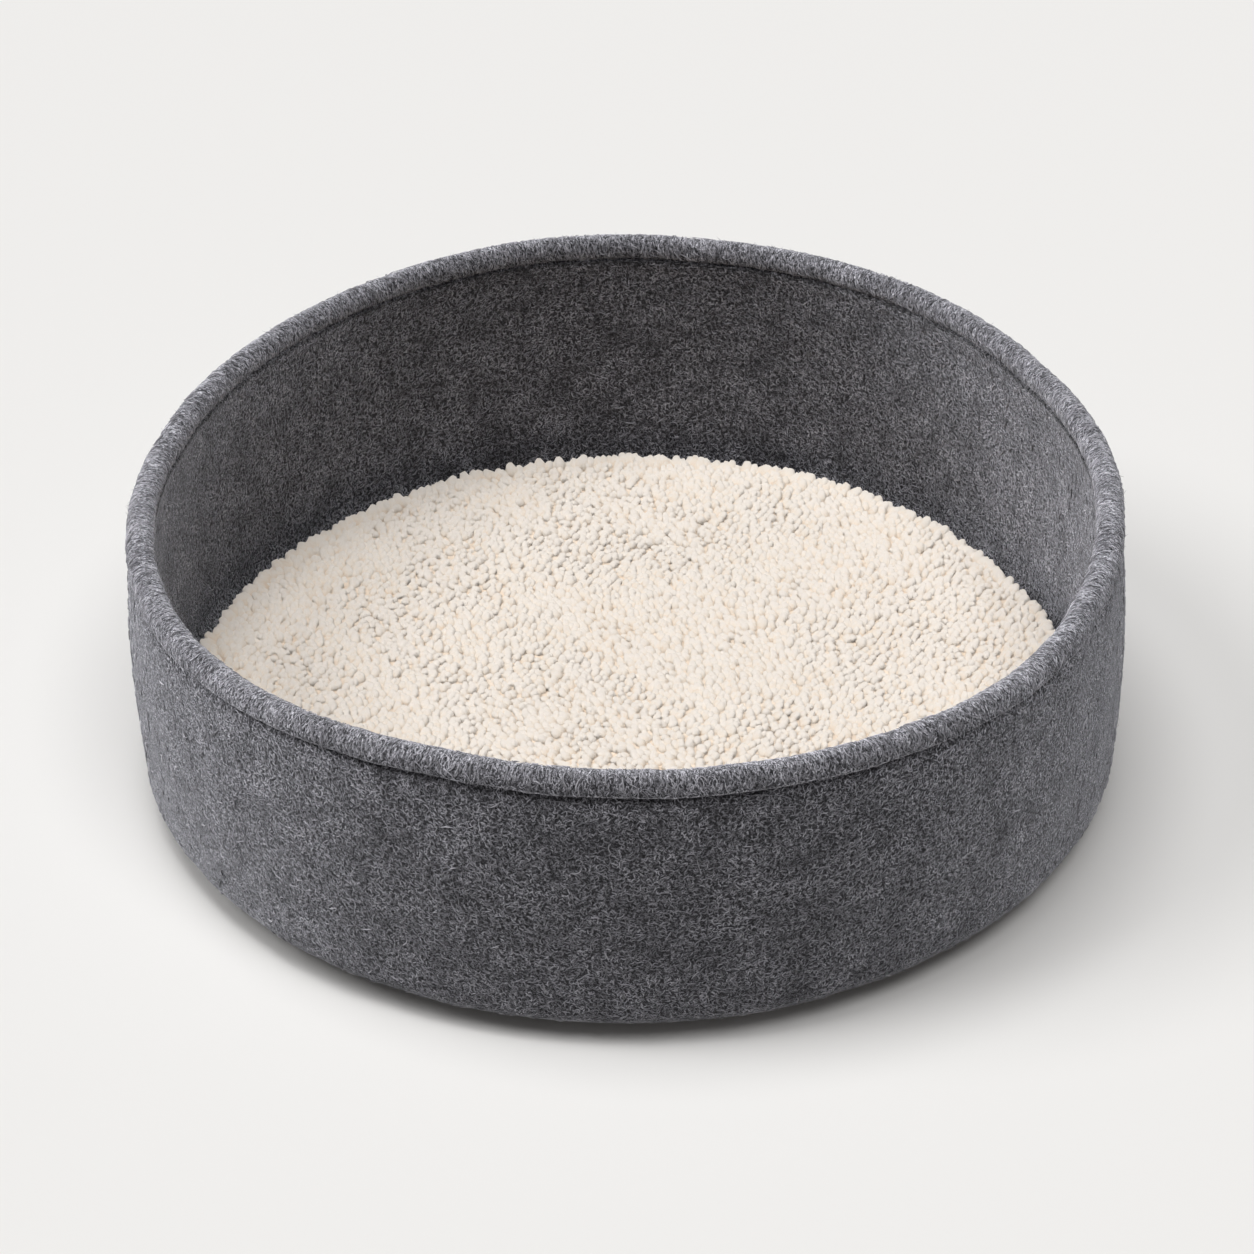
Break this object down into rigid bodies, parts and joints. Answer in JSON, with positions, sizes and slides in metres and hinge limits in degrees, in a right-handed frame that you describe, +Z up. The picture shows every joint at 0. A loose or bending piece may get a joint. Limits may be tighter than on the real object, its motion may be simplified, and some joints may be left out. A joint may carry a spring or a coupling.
{
  "type": "round cat bed",
  "caption": "Round open tub of thick grey wool felt with a turned, stitched rim and a loose cream fleece pad on its floor, for a cat to lie in.",
  "frame": {"origin": "centre of the box that holds the bed, on the surface that it stands on", "axes": "+Z up, out of the open top; -Y is the side that faces the picture's camera, +X is to its right"},
  "size_m": [0.5007, 0.5077, 0.1612],
  "materials": {
    "felt": "dark grey heathered wool felt, dry and matt, with short fibres",
    "fleece": "cream curly fleece with soft round tufts"
  },
  "bodies": {
    "root": {"felt_tub": "felt", "fleece_pad": "fleece"}
  },
  "joints": []
}
